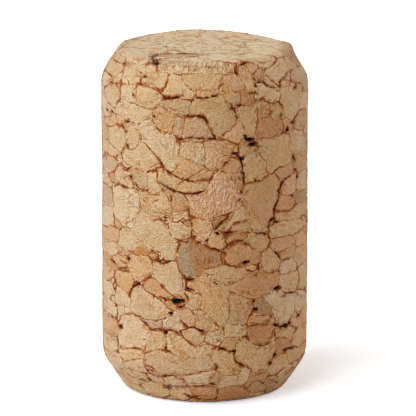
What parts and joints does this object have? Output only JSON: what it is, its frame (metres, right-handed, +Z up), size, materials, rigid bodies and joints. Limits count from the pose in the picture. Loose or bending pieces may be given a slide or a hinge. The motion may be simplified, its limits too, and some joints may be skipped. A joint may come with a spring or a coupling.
{
  "type": "cork stopper",
  "caption": "Agglomerated cork stopper: a straight cylindrical plug of glued cork granules with a bevel at each end.",
  "frame": {"origin": "centre of the base, the lower end face that it stands on", "axes": "+Z runs up the stopper's axis, -Y is the front and +X is to the right of it"},
  "size_m": [0.026, 0.026, 0.0436],
  "materials": {
    "cork": "matte"
  },
  "bodies": {
    "root": {"stopper": "cork"}
  },
  "joints": []
}
